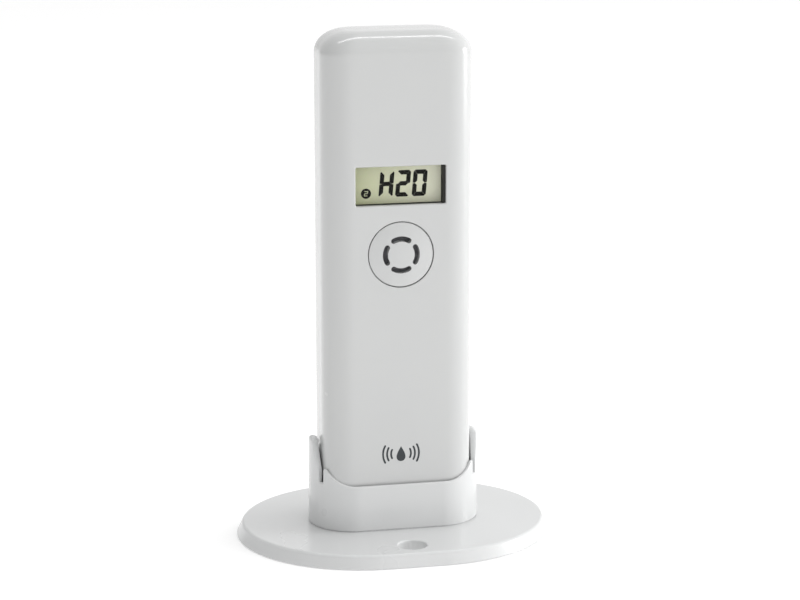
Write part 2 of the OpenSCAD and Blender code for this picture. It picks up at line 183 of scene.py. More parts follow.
def block(low, high):
    """A box between two corners, as two square rings."""
    x = np.array([high[0], low[0], low[0], high[0]])
    y = np.array([high[1], high[1], low[1], low[1]])
    return upright(np.stack([x, y], -1), [low[2], high[2]])


def upright(outline, heights, insets=None):
    """An outline (points, 2) in X and Y stacked at the given heights, each ring scaled so
    that its half width is smaller by its inset."""
    heights = np.asarray(heights, float)
    insets = np.zeros(len(heights)) if insets is None else np.asarray(insets, float)
    reach = np.abs(outline).max(0)
    scale = 1 - insets[:, None] / reach[None, :]
    flat = outline[None] * scale[:, None, :]
    z = np.broadcast_to(heights[:, None, None], flat[..., :1].shape)
    return solid(np.concatenate([flat, z], -1))


def lying(outline, depths, centre=(0, 0), grow=None):
    """An outline (points, 2) in X and Z, anticlockwise from the front, stacked from the
    back to the front at the given depths. Each ring is moved outwards along both axes
    by its grow, in the direction of the sign of each coordinate."""
    depths = np.asarray(depths, float)
    grow = np.zeros(len(depths)) if grow is None else np.asarray(grow, float)
    flat = outline[None] + np.sign(outline)[None] * grow[:, None, None]
    y = np.broadcast_to(depths[:, None], flat.shape[:2])
    return solid(np.stack([flat[..., 0] + centre[0], y, flat[..., 1] + centre[1]], -1))


def rounded(half_x, half_z, radius, steps=7):
    """Outline of a rectangle with round corners, anticlockwise."""
    x, z = soft_section([half_x], [half_z], [radius], [radius], 2, steps)
    return np.stack([x[0], z[0]], -1)


def turned(centre, radii, places, axis, count=64):
    """A profile turned round an axis: a circle of each radius at each place along it.
    Along z the places rise, and along y they run from the back to the front."""
    angle = np.linspace(0, 2 * np.pi, count, endpoint=False)
    radii = np.asarray(radii, float)[:, None]
    across = centre[0] + radii * np.cos(angle)
    second = centre[1] + radii * np.sin(angle)
    place = np.broadcast_to(np.asarray(places, float)[:, None], across.shape)
    order = [across, second, place] if axis == "z" else [across, place, second]
    return solid(np.stack(order, -1))


def lip(radius, steps=6):
    """Quarter-round flare: how much wider and how much further out each ring is."""
    turn = np.linspace(0, np.pi / 2, steps)
    return radius * (1 - np.cos(turn)), radius * np.sin(turn)


def arc_bar(radius_in, radius_out, middle, span, depths, centre, steps=24):
    """Part of a ring with round ends, stacked from the back to the front: the outline
    runs along the outer circle, round one end, back along the inner circle and round
    the other. Angles are in degrees."""
    mid_r = (radius_in + radius_out) / 2
    half_w = (radius_out - radius_in) / 2
    half = math.radians(span / 2) - math.asin(half_w / mid_r)
    along = np.linspace(-half, half, steps) + math.radians(middle)
    cap = np.linspace(0, np.pi, 9)[1:-1]
    out = radius_out * np.stack([np.cos(along), np.sin(along)], -1)
    back = radius_in * np.stack([np.cos(along), np.sin(along)], -1)[::-1]
    ends = []
    for angle, start in ((along[-1], along[-1]), (along[0], along[0] + np.pi)):
        heart = mid_r * np.array([math.cos(angle), math.sin(angle)])
        ends.append(heart + half_w * np.stack([np.cos(cap + start), np.sin(cap + start)], -1))
    outline = np.concatenate([out, ends[0], back, ends[1]])
    return lying(outline, depths, centre)


# ---------------------------------------------------------------- pieces


def piece(name, *parts):
    """One object from (points in mm, faces) parts."""
    points, faces, start = [], [], 0
    for part_points, part_faces in parts:
        points.append(part_points)
        faces.extend([[i + start for i in face] for face in part_faces])
        start += len(part_points)
    mesh = bpy.data.meshes.new(name)
    mesh.from_pydata((np.concatenate(points) * MM).tolist(), [], faces)
    mesh.update()
    made = bpy.data.objects.new(name, mesh)
    bpy.context.scene.collection.objects.link(made)
    return made


def settle(made):
    """Puts the result of an object's modifiers into its mesh."""
    bpy.context.view_layer.update()
    graph = bpy.context.evaluated_depsgraph_get()
    result = bpy.data.meshes.new_from_object(made.evaluated_get(graph))
    made.modifiers.clear()
    old = made.data
    made.data = result
    bpy.data.meshes.remove(old)


def carve(made, operation, *parts):
    """Cuts, joins or intersects the piece with one part after another."""
    for part in parts:
        tool = piece("tool", part)
        cut = made.modifiers.new("cut", "BOOLEAN")
        cut.operation = operation
        cut.solver = "EXACT"
        cut.object = tool
        settle(made)
        bpy.data.objects.remove(tool)


def finish(made, body, finish_material, slot, *nodes, smooth=38):
    """Smooth shading up to an angle, its material, its body and the CAD nodes it is."""
    made.data.polygons.foreach_set("use_smooth", np.ones(len(made.data.polygons), bool))
    made.data.set_sharp_from_angle(angle=math.radians(smooth))
    even = made.modifiers.new("even_shading", "WEIGHTED_NORMAL")
    even.keep_sharp = True
    settle(made)
    made.data.materials.clear()
    made.data.materials.append(finish_material)
    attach(made, body)
    if nodes:
        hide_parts(*nodes)
    return made


# ---------------------------------------------------------------- materials


def linear(code):
    """Linear colour of an sRGB hex value: the sRGB curve undone for each channel."""
    value = np.array([int(code[i : i + 2], 16) for i in (1, 3, 5)]) / 255
    low = value / 12.92
    high = ((value + 0.055) / 1.055) ** 2.4
    return (*np.where(value <= 0.04045, low, high), 1.0)


def add(tree, kind, values=None, links=None, **settings):
    """Adds a node: its own settings, the values of its inputs, and what feeds them."""
    made = tree.nodes.new(kind)
    for key, value in settings.items():
        setattr(made, key, value)
    for key, value in (values or {}).items():
        made.inputs[key].default_value = value
    for key, source in (links or {}).items():
        tree.links.new(source, made.inputs[key])
    return made


def blank(name, **sockets):
    """A material with one Principled shader: its tree, its shader and the place on the
    piece in Object coordinates."""
    made = bpy.data.materials.new(name)
    made.use_nodes = True
    tree = made.node_tree
    tree.nodes.clear()
    shader = add(tree, "ShaderNodeBsdfPrincipled")
    add(tree, "ShaderNodeOutputMaterial", links={"Surface": shader.outputs["BSDF"]})
    for key, value in sockets.items():
        shader.inputs[key.replace("_", " ")].default_value = value
    place = add(tree, "ShaderNodeTexCoord").outputs["Object"]
    return made, tree, shader, place


MIX_A = 6  # sockets of a Mix node that is set to colours
MIX_B = 7
MIX_RESULT = 2


def per_mm(size):
    """Texture scale for a feature of this size in mm, on coordinates in metres."""
    return 1 / (size * MM)


def moulded(name, pale, deep, rough, cloud_mm, grain_mm, relief_mm, stretch=(1, 1, 1), **sockets):
    """Material of a moulded or pressed part: slow colour clouds between two tones, a
    gloss that changes a little from place to place, and a fine relief. The clouds, the
    grain and the height of the relief are in mm; stretch draws the pattern out."""
    made, tree, shader, place = blank(name, **sockets)
    drawn = add(tree, "ShaderNodeMapping", {"Scale": stretch}, {"Vector": place}).outputs[0]
    cloud = add(
        tree, "ShaderNodeTexNoise", {"Scale": per_mm(cloud_mm), "Detail": 3}, {"Vector": drawn}
    )
    tone = add(
        tree,
        "ShaderNodeMix",
        {MIX_A: linear(deep), MIX_B: linear(pale)},
        {"Factor": cloud.outputs["Fac"]},
        data_type="RGBA",
    )
    tree.links.new(tone.outputs[MIX_RESULT], shader.inputs["Base Color"])
    grain = add(
        tree, "ShaderNodeTexNoise", {"Scale": per_mm(grain_mm), "Detail": 2}, {"Vector": drawn}
    )
    polish = add(
        tree,
        "ShaderNodeMapRange",
        {"From Min": 0.3, "From Max": 0.7, "To Min": rough[0], "To Max": rough[1]},
        {"Value": cloud.outputs["Fac"]},
    )
    tree.links.new(polish.outputs[0], shader.inputs["Roughness"])
    relief = add(
        tree,
        "ShaderNodeBump",
        {"Strength": 0.6, "Distance": relief_mm * MM},
        {"Height": grain.outputs["Fac"]},
    )
    tree.links.new(relief.outputs[0], shader.inputs["Normal"])
    return made


def banded(name, axis, stops, rough, metal, **sockets):
    """Material whose colour steps along one axis of the piece: stops are (place in mm,
    colour), and each colour holds up to the next place."""
    made, tree, shader, place = blank(name, Metallic=metal, Roughness=rough, **sockets)
    split = add(tree, "ShaderNodeSeparateXYZ", links={"Vector": place})
    low, high = stops[0][0], stops[-1][0] + 1
    reach = add(
        tree,
        "ShaderNodeMapRange",
        {"From Min": low * MM, "From Max": high * MM},
        {"Value": split.outputs[axis]},
    )
    ramp = add(tree, "ShaderNodeValToRGB", links={"Fac": reach.outputs[0]})
    ramp.color_ramp.interpolation = "CONSTANT"
    for at, colour in stops[2:]:
        ramp.color_ramp.elements.new((at - low) / (high - low))
    for element, (at, colour) in zip(ramp.color_ramp.elements, stops):
        element.position = (at - low) / (high - low)
        element.color = linear(colour)
    tree.links.new(ramp.outputs[0], shader.inputs["Base Color"])
    scuff = add(tree, "ShaderNodeTexNoise", {"Scale": per_mm(0.8), "Detail": 4}, {"Vector": place})
    relief = add(
        tree,
        "ShaderNodeBump",
        {"Strength": 0.3, "Distance": 0.01 * MM},
        {"Height": scuff.outputs["Fac"]},
    )
    tree.links.new(relief.outputs[0], shader.inputs["Normal"])
    return made


# Glossy white ABS from a polished mould: a clean white with faint clouds, a bright line
# on each rounded edge and the slight orange peel of the moulding.
WHITE_ABS = moulded(
    "polished_moulded_white_abs",
    "#CFD0CF",
    "#CACBCB",
    (0.2, 0.28),
    cloud_mm=26,
    grain_mm=1.6,
    relief_mm=0.012,
    Coat_Weight=0.8,
    Coat_Roughness=0.05,
)
# The holder and the foot are moulded in the same ABS with a duller polish: softer
# # highlights, and a slightly paler white that is painted light, making up for light that the lower
# parts lack.
STAND_ABS = moulded(
    "satin_moulded_white_abs",
    "#DDDEDE",
    "#D7D8D8",
    (0.26, 0.36),
    cloud_mm=22,
    grain_mm=1.2,
    relief_mm=0.014,
    Coat_Weight=0.5,
    Coat_Roughness=0.08,
)
# Matt white ABS for the inside frame that holds the display.
INNER_ABS = moulded("matt_moulded_white_abs", "#E6E6E2", "#DEDED8", (0.45, 0.6), 15, 0.8, 0.02)
# Satin grey ABS of the send button: a plain mid-grey with a soft shine.
GREY_ABS = moulded("satin_moulded_grey_abs", "#8E9295", "#82868A", (0.35, 0.45), 12, 0.7, 0.015)
# Black glass-filled nylon of sockets and switches: fine speckle, dull sheen.
BLACK_NYLON = moulded("moulded_black_nylon", "#2A2B2D", "#1D1E20", (0.4, 0.55), 5, 0.35, 0.02)
# Black closed-cell foam of the seals, the liner and the contact strips: dark and matt. On the
# liner's wide right strip it also serves as painted shadow.
BLACK_FOAM = moulded("black_closed_cell_foam", "#2E2E2A", "#232320", (0.75, 0.9), 4, 0.3, 0.05)
# Charcoal open-cell foam behind the slots: dull, with pores drawn coarse enough to show.
FILTER_FOAM = moulded("charcoal_open_cell_foam", "#77777A", "#4A4A4D", (0.8, 0.95), 1.2, 0.35, 0.12)
# Grey silicone pads under the foot: matt with a light bloom.
PAD_SILICONE = moulded(
    "moulded_grey_silicone", "#A2A4A5", "#8F9193", (0.6, 0.75), 6, 0.5, 0.02, Sheen_Weight=0.2
)
# Zinc-plated steel of screws, springs and contacts: bright, with a faint drawn grain.
PLATED_STEEL = moulded(
    "zinc_plated_steel",
    "#D0D3D6",
    "#B4B8BC",
    (0.22, 0.38),
    cloud_mm=3,
    grain_mm=0.25,
    relief_mm=0.006,
    stretch=(1, 1, 6),
    Metallic=1.0,
)
# Enamelled copper wire of the aerial coil: warm and glossy.
COIL_COPPER = moulded(
    "enamelled_copper_wire", "#C77F4A", "#A5622F", (0.2, 0.32), 2, 0.3, 0.004, Metallic=1.0
)
# Tinned steel shield of the radio module: pale metal with a soft, uneven shine.
TINNED_SHIELD = moulded(
    "tinned_steel_shield", "#C9CCCE", "#AEB2B6", (0.28, 0.42), 4, 0.4, 0.008, Metallic=0.9
)
# Pad-printed ink on the casing: dark grey, thin and less glossy than the plastic.
PRINT_INK = moulded("pad_printed_grey_ink", "#33393D", "#2A2F33", (0.35, 0.45), 3, 0.3, 0.004)
# Segments of the liquid crystal: near black, darkened a little towards green.
LCD_BLACK = moulded(
    "liquid_crystal_segment",
    "#15160F",
    "#0F100B",
    (0.45, 0.55),
    cloud_mm=2,
    grain_mm=0.4,
    relief_mm=0.002,
    Specular_IOR_Level=0.2,
)


def reflective_lcd():
    """Front polariser over a grey-green reflector: a slow shift from olive on the left to a
    paler tone on the right, which is painted light, brighter on the side the light comes
    from; the reflector's fine sparkle, and a soft gloss. A faint painted glow in the same
    colours stands for the light that the reflector sends straight back."""
    made, tree, shader, place = blank(
        "reflective_lcd_polariser", Coat_Weight=0.4, Coat_Roughness=0.15
    )
    split = add(tree, "ShaderNodeSeparateXYZ", links={"Vector": place})
    # Painted light: the display is coloured from olive on the left to a paler tone on the right,
    # brighter on the side the light comes from.
    across = add(
        tree,
        "ShaderNodeMapRange",
        {"From Min": -DISPLAY[0] * MM, "From Max": DISPLAY[0] * MM},
        {"Value": split.outputs["X"]},
    )
    ramp = add(tree, "ShaderNodeValToRGB", links={"Fac": across.outputs[0]})
    ramp.color_ramp.elements[0].color = linear("#C4C9A0")
    ramp.color_ramp.elements[1].color = linear("#F2F3DC")
    sparkle = add(
        tree, "ShaderNodeTexNoise", {"Scale": per_mm(0.25), "Detail": 4}, {"Vector": place}
    )
    mixed = add(
        tree,
        "ShaderNodeMix",
        links={"Factor": sparkle.outputs["Fac"]},
        data_type="RGBA",
        blend_type="SOFT_LIGHT",
    )
    tree.links.new(ramp.outputs[0], mixed.inputs[MIX_A])
    tree.links.new(sparkle.outputs["Color"], mixed.inputs[MIX_B])
    tree.links.new(mixed.outputs[MIX_RESULT], shader.inputs["Base Color"])
    # Painted glow: the same colours, paler on the right, also shine as a faint emission.
    tree.links.new(mixed.outputs[MIX_RESULT], shader.inputs["Emission Color"])
    shader.inputs["Emission Strength"].default_value = 0.14
    shine = add(
        tree,
        "ShaderNodeMapRange",
        {"To Min": 0.4, "To Max": 0.55},
        {"Value": sparkle.outputs["Fac"]},
    )
    tree.links.new(shine.outputs[0], shader.inputs["Roughness"])
    return made


def clear_pane():
    """Clear acrylic pane: nearly see-through, with a polished face and faint haze."""
    made, tree, shader, place = blank("polished_clear_acrylic", IOR=1.49)
    shader.inputs["Base Color"].default_value = linear("#20221E")
    haze = add(tree, "ShaderNodeTexNoise", {"Scale": per_mm(9), "Detail": 3}, {"Vector": place})
    alpha = add(
        tree,
        "ShaderNodeMapRange",
        {"To Min": 0.04, "To Max": 0.07},
        {"Value": haze.outputs["Fac"]},
    )
    tree.links.new(alpha.outputs[0], shader.inputs["Alpha"])
    polish = add(
        tree,
        "ShaderNodeMapRange",
        {"To Min": 0.03, "To Max": 0.08},
        {"Value": haze.outputs["Fac"]},
    )
    tree.links.new(polish.outputs[0], shader.inputs["Roughness"])
    return made


def solder_masked_board():
    """Glass-epoxy board under green solder mask: copper tracks show as paler lines in a
    2.5 mm raster, slightly raised under the glossy mask."""
    made, tree, shader, place = blank(
        "solder_masked_glass_epoxy", Coat_Weight=0.3, Coat_Roughness=0.1
    )
    turned_place = add(
        tree, "ShaderNodeMapping", {"Rotation": (math.pi / 2, 0, 0)}, {"Vector": place}
    )
    tracks = add(
        tree,
        "ShaderNodeTexBrick",
        {
            "Scale": per_mm(2.5),
            "Mortar Size": 0.09,
            "Brick Width": 1.6,
            "Row Height": 0.5,
            "Color1": linear("#1F5B3B"),
            "Color2": linear("#235F40"),
            "Mortar": linear("#3C8258"),
        },
        {"Vector": turned_place.outputs[0]},
    )
    tree.links.new(tracks.outputs["Color"], shader.inputs["Base Color"])
    relief = add(
        tree,
        "ShaderNodeBump",
        {"Strength": 0.5, "Distance": 0.03 * MM},
        {"Height": tracks.outputs["Fac"]},
    )
    tree.links.new(relief.outputs[0], shader.inputs["Normal"])
    shader.inputs["Roughness"].default_value = 0.35
    return made


LCD_FACE = reflective_lcd()
CLEAR_PANE = clear_pane()
BOARD = solder_masked_board()

# ---------------------------------------------------------------- casing

inner_front = -CASE_D + WALL
window_front = WINDOW_LOW[1]
FAR = 60.0  # past the casing, for a cut that takes all on one side
PAST = 2.0  # how far a cut runs on outside the skin
OPENING_EDGE = 0.4  # rounding round the display
RING_EDGE = 0.12  # rounding round the grille
FRAME_LAND = 1.2  # land round the display opening, which meets the window
GRILLE_LAND = 1.5
GRILLE_STEP = 1.2  # how far the step behind the disc reaches under it

lip_out, lip_up = lip(OPENING_EDGE)
opening_depths = np.concatenate([[0], -CASE_D + OPENING_EDGE - lip_up, [-CASE_D - PAST]])
opening_grow = np.concatenate([[0], lip_out, lip_out[-1:]])
fine_out, fine_up = lip(RING_EDGE, 4)
hole_depths = np.concatenate([[inner_front], -CASE_D + RING_EDGE - fine_up, [-CASE_D - PAST]])
hole_radii = GRILLE_R + GRILLE_GAP + np.concatenate([[0], fine_out, fine_out[-1:]])
land = rounded(DISPLAY[0] + FRAME_LAND, DISPLAY[1] + FRAME_LAND, 0.5)

front = piece("front_shell", tower(0))
carve(
    front,
    "DIFFERENCE",
    tower(WALL),
    block((-FAR, -PARTING, 0), (FAR, FAR, 200)),
)
carve(
    front,
    "UNION",
    lying(land, [window_front, inner_front - 0.2], (0, DISPLAY_Z)),
    turned((0, GRILLE_Z), [GRILLE_R + GRILLE_LAND] * 2, [inner_front + 1, inner_front - 0.2], "y"),
)
carve(
    front,
    "DIFFERENCE",
    lying(rounded(DISPLAY[0], DISPLAY[1], 0.35), opening_depths, (0, DISPLAY_Z), opening_grow),
    turned((0, GRILLE_Z), hole_radii, hole_depths, "y", 128),
    turned((0, GRILLE_Z), [GRILLE_R - GRILLE_STEP] * 2, [0, -CASE_D], "y", 96),
)
finish(front, "transmitter", WHITE_ABS, "case_plastic", "front_case")

SCREW_PLACES = [(-14, 130.5), (14, 130.5), (-15.4, 73.2), (15.4, 73.2)]
SCREW_BOSS_R = 2.6
SCREW_HEAD_R = 2.35
SCREW_SHANK_R = 1.5
SOCKET = (-8.0, 82.0)
SOCKET_R = 2.85
BUTTON = (8.0, 82.0)
BUTTON_R = 2.45
BAY_W = 14.8  # half width of the battery bay
BAY_LOW = 14.2
BAY_HIGH = 68.4
BAY_WALL = 1.2
COVER_PLAY = 0.2
COVER_WALL = 1.5
COVER_SEAT = 0.6  # how far the cover's opening goes past the inside of the wall
inner_back = CASE_D - WALL
screw_back = box_mm("case_screws")[1][1]
head_seat = screw_back - 1.4
bay_front = box_mm("cell_left")[0][1] - 0.4


def back_hole(centre, radius, seat, edge=0.2):
    """A bore from a seat out through the back, with a small rounded edge outside."""
    out, up = lip(edge, 4)
    places = np.concatenate([[CASE_D + PAST], (CASE_D - edge + up)[::-1], [seat]])
    radii = radius + np.concatenate([out[-1:], out[::-1], [0]])
    return turned(centre, radii, places, "y", 48)


back = piece("back_shell", tower(0))
carve(
    back,
    "DIFFERENCE",
    tower(WALL),
    block((-FAR, -FAR, 0), (FAR, PARTING, 200)),
)
carve(
    back,
    "UNION",
    block(
        (-BAY_W - BAY_WALL, bay_front - BAY_WALL, BAY_LOW - BAY_WALL),
        (BAY_W + BAY_WALL, inner_back + 0.2, BAY_HIGH + BAY_WALL),
    ),
    *[turned(p, [SCREW_BOSS_R] * 2, [inner_back + 0.3, PARTING], "y", 32) for p in SCREW_PLACES],
)
carve(
    back,
    "DIFFERENCE",
    block((-BAY_W, bay_front, BAY_LOW), (BAY_W, FAR, BAY_HIGH)),
    block(
        (COVER_LOW[0] - COVER_PLAY, inner_back - COVER_SEAT, COVER_LOW[2] - COVER_PLAY),
        (COVER_HIGH[0] + COVER_PLAY, FAR, COVER_HIGH[2] + COVER_PLAY),
    ),
    *[back_hole(p, SCREW_HEAD_R, head_seat) for p in SCREW_PLACES],
    *[turned(p, [SCREW_SHANK_R] * 2, [CASE_D, -1], "y", 24) for p in SCREW_PLACES],
    back_hole(SOCKET, SOCKET_R, inner_back - 1),
    back_hole(BUTTON, BUTTON_R, inner_back - 1),
)
finish(back, "transmitter", WHITE_ABS, "case_plastic", "rear_case")

cover = piece("battery_door", tower(0))
carve(cover, "DIFFERENCE", tower(COVER_WALL))
carve(
    cover,
    "INTERSECT",
    block(
        (COVER_LOW[0], inner_back - COVER_SEAT, COVER_LOW[2]),
        (COVER_HIGH[0], FAR, COVER_HIGH[2]),
    ),
)
PEG = (1.4, 2.8, 7.0)  # width, depth and height of the pegs that hold the cover
PEG_INSET = 4
peg_x = BAY_W - 1.2
peg_back = inner_back + 0.3
carve(
    cover,
    "UNION",
    *[
        block((x - PEG[0] / 2, peg_back - PEG[1], z), (x + PEG[0] / 2, peg_back, z + PEG[2]))
        for x in (-peg_x, peg_x)
        for z in (COVER_LOW[2] + PEG_INSET, COVER_HIGH[2] - PEG_INSET - PEG[2])
    ],
)


GROOVE_REACH = 6.0
GROOVE_R = 1.0
GROOVE_UP = 0.7  # how far the bar's axis lies outside the back
grip_places = COVER_HIGH[2] - 5 - 1.8 * np.arange(5)


def groove(height):
    """A finger groove: a bar along x, cut into the back. Its radius follows
    sqrt(1 - |s|^8) for a place s along it, so the ends are round."""
    along = np.linspace(-1, 1, 25)
    reach = GROOVE_REACH * along
    radius = np.maximum(0.02, GROOVE_R * np.sqrt(np.clip(1 - np.abs(along) ** 8, 0, 1)))
    angle = np.linspace(0, 2 * np.pi, 24, endpoint=False)
    y = CASE_D + GROOVE_UP + radius[:, None] * np.cos(angle)
    z = height + radius[:, None] * np.sin(angle)
    return solid(np.stack([np.broadcast_to(reach[:, None], y.shape), y, z], -1))


carve(cover, "DIFFERENCE", *[groove(z) for z in grip_places])
finish(cover, "rear_cover", WHITE_ABS, "case_plastic", "battery_cover")

# ---------------------------------------------------------------- sensor grille

DOME = 0.75  # how far the middle of the disc stands in front of its edge
DISC_EDGE = 0.1  # bevel round the disc
spread = np.linspace(1, 0.003, 26)
disc_r = GRILLE_R - 0.07
dome_radii = np.concatenate([[disc_r], [disc_r], (disc_r - DISC_EDGE) * spread])
dome_front = -CASE_D + 0.08 - DOME
dome_depths = np.concatenate(
    [[GRILLE_HIGH[1]], [dome_front + DOME + DISC_EDGE], dome_front + DOME * spread**2]
)
grille = piece("grille_disc", turned((0, GRILLE_Z), dome_radii, dome_depths, "y", 128))
carve(
    grille,
    "DIFFERENCE",
    *[
        arc_bar(SLOT_R - SLOT_W, SLOT_R, turn, SLOT_SPAN, [0, -CASE_D - PAST], (0, GRILLE_Z))
        for turn in (0, 90, 180, 270)
    ],
)
finish(grille, "transmitter", WHITE_ABS, "case_plastic", "sensor_grille", smooth=30)

# ---------------------------------------------------------------- display

glass_mid = (GLASS_LOW + GLASS_HIGH) / 2
glass_half = (GLASS_HIGH - GLASS_LOW) / 2
GLASS_EDGE = 0.15
edge_out, edge_up = lip(GLASS_EDGE, 4)
glass = piece(
    "lcd_panel",
    lying(
        rounded(glass_half[0], glass_half[2], 0.3),
        np.concatenate([[GLASS_HIGH[1]], (GLASS_LOW[1] + GLASS_EDGE) - edge_up]),
        (glass_mid[0], glass_mid[2]),
        np.concatenate([[0], -edge_out]),
    ),
)
finish(glass, "transmitter", LCD_FACE, "display", "lcd_glass")

# Black foam liner round the display; its wide right strip is painted shadow, standing for the shade
# along the display's right wall.
liner = piece(
    "display_liner_with_shade_strip",
    lying(
        rounded(DISPLAY[0] - 0.02, DISPLAY[1] - 0.02, 0.33),
        [window_front - 0.02, -CASE_D + 0.45],
        (0, DISPLAY_Z),
    ),
)
# The liner's opening, from its lower left to its upper right corner: the strip is wide
# # on the right, a painted shadow standing for the shade along the display's right wall.
# # The other three sides stand back from the front by LINER_BACK.
LINER_LOW = (-11.9, -4.98)
LINER_HIGH = (11.25, 4.94)
LINER_BACK = 1.3
SHADE_STRIP = 0.8
liner_mid = (np.array(LINER_LOW) + LINER_HIGH) / 2
liner_half = (np.array(LINER_HIGH) - LINER_LOW) / 2
carve(
    liner,
    "DIFFERENCE",
    lying(rounded(*liner_half, 0.15), [0, -CASE_D - 1], (liner_mid[0], DISPLAY_Z + liner_mid[1])),
    block(
        (-DISPLAY[0] - 1, -CASE_D - 1, DISPLAY_Z - 6),
        (DISPLAY[0] - SHADE_STRIP, -CASE_D + LINER_BACK, DISPLAY_Z + 6),
    ),
)
finish(liner, "transmitter", BLACK_FOAM, "black_rubber")

# Seven-segment figures. Each segment's outline is given for the figure's upper right
# part and mirrored from there.
FIGURE = (1.88, 3.5)  # half width and half height over the segments
SEGMENT = 1.14  # width of a segment
CUT = 0.5  # how much is cut off the figure's corners
SPLIT = 0.022  # half of the gap between segments
LEAN = 0.085  # how far the figure leans to the right for each mm of height
NOTCH = 0.12  # how much higher an upright's outer side starts than its point in the middle
READING = (("bcefg", -3.15), ("abged", 1.3), ("abcdef", 5.75))
FIGURE_Z = 97.0
ink = (GLASS_LOW[1] + 0.02, GLASS_LOW[1] - 0.05)  # back and front of the figures
number_ink = (GLASS_LOW[1] - 0.04, GLASS_LOW[1] - 0.07)


def segment_outline(name, half, width, cut, split):
    """One segment in the plane of its figure, anticlockwise. The bars and the uprights
    meet in 45 degree mitres, with the figure's corners cut off; the middle bar is
    pointed at both ends."""
    w, h = half
    if name == "g":
        side = [w - width / 2 - split, w - width]
        x = np.array([side[0], side[1], -side[1], -side[0], -side[1], side[1]])
        z = np.array([0, 1, 1, 0, -1, -1]) * width / 2
        return np.stack([x, z], -1)
    if name in "ad":
        inner, mid, outer = w - width - split, w - cut / 2 - split, w - cut - split
        x = np.array([inner, mid, outer, -outer, -mid, -inner])
        z = np.array([h - width, h - cut / 2, h, h, h - cut / 2, h - width])
        up = 1 if name == "a" else -1
        return np.stack([x, z * up], -1)[:: up]
    x = np.array([w - width, w - width / 2, w, w, w - cut / 2, w - width])
    top = np.array([h - cut, h - cut / 2, h - width]) - split
    z = np.array([width / 2, split, split + NOTCH, *top])
    right = 1 if name in "bc" else -1
    up = 1 if name in "bf" else -1
    return np.stack([x * right, z * up], -1)[:: right * up]


def segment_prism(name, half, width, cut, split, centre, depths):
    """A segment, leaned over and stacked from the back to the front at two depths."""
    outline = segment_outline(name, half, width, cut, split)
    lean = np.stack([outline[:, 1] * LEAN, outline[:, 1] * 0], -1)
    return lying(outline + lean, depths, centre)


figures = [
    segment_prism(name, FIGURE, SEGMENT, CUT, SPLIT, (middle, FIGURE_Z), ink)
    for names, middle in READING
    for name in names
]
CHANNEL = (-8.62, 94.62)
CHANNEL_R = 1.35
disc = turned(CHANNEL, [CHANNEL_R] * 2, ink, "y", 40)
reading = piece("lcd_reading", *figures, disc)
finish(reading, "transmitter", LCD_BLACK, "display")

NUMBER = (0.5, 0.66)
NUMBER_LINE = 0.17
channel = piece(
    "lcd_channel_number",
    *[
        segment_prism(n, NUMBER, NUMBER_LINE, 0.04, 0.0, CHANNEL, number_ink)
        for n in "abged"
    ],
)
finish(channel, "transmitter", LCD_FACE, "display")

# ---------------------------------------------------------------- printed sign

SIGN_Z = 24.4
DROP = (1.7, 2.1)
ARC_RADII = (2.7, 3.8, 4.9)
ARC_LINE = 0.25  # half width of an arc
ARC_SPAN = 62
print_depths = [-CASE_D + 0.02, -CASE_D - 0.02]
swing = np.linspace(0, 2 * np.pi, 48, endpoint=False)
# The drop: half width -sin(a) sin(a / 2)^1.4 at the height cos(a), pointed at the top.
drop_outline = np.stack(
    [-DROP[0] * np.sin(swing) * np.sin(swing / 2) ** 1.4, DROP[1] * np.cos(swing)], -1
)
sign = piece(
    "printed_drop_sign",
    lying(drop_outline, print_depths, (0, SIGN_Z)),
    *[
        arc_bar(r - ARC_LINE, r + ARC_LINE, turn, ARC_SPAN, print_depths, (0, SIGN_Z))
        for r in ARC_RADII
        for turn in (0, 180)
    ],
)
finish(sign, "transmitter", PRINT_INK, "case_plastic")

# ---------------------------------------------------------------- holder

END_X = CUP_W - CUP_D  # where the straight front passes into the round end
# A clip's edge: how far it has dropped below the tip at each depth from the middle.
CLIP_EDGE_Y = (0, 1.5, 1.9, 2.3, 2.6, 2.8, 2.95, 3.8, 5.8, 6.0)
CLIP_EDGE_Z = (0, 0, 0.06, 0.25, 0.53, 0.9, 1.4, 3.3, 7.4, CLIP_Z - SLIT_Z)
SWEEP_X = 12.6  # where the flat rim begins to rise
SWEEP_R = 9.0
NUB = 0.6  # bulge inside a clip's tip
NUB_SIDE = (3.4, 2.2)  # where the bulge ends to the side, and over how far it fades
NUB_UP = (3.5, 2.5)  # how far below the tip it starts, and over how far it grows
SWELL = 0.8  # how much thicker a clip is at its tip than at its foot
SWELL_UP = 8.5  # over how far above the slits' ends it gets thicker
RIM_R = 0.5  # height of the rim's rounding
FLOOR_R = 0.8  # rounding where the inside meets the floor
FLOOR_IN = 7.0  # where the inside floor's last ring lies, from the outside
SEAM_IN = 0.3  # a fine groove where the holder stands on the foot
SEAM_UP = (0.16, 0.34)
DRAFT = 0.25  # how much the holder draws in from its base to the clips' tips


def ease(value):
    """Smooth step: 3 v^2 - 2 v^3 of a value kept between 0 and 1."""
    v = np.clip(value, 0, 1)
    return v * v * (3 - 2 * v)


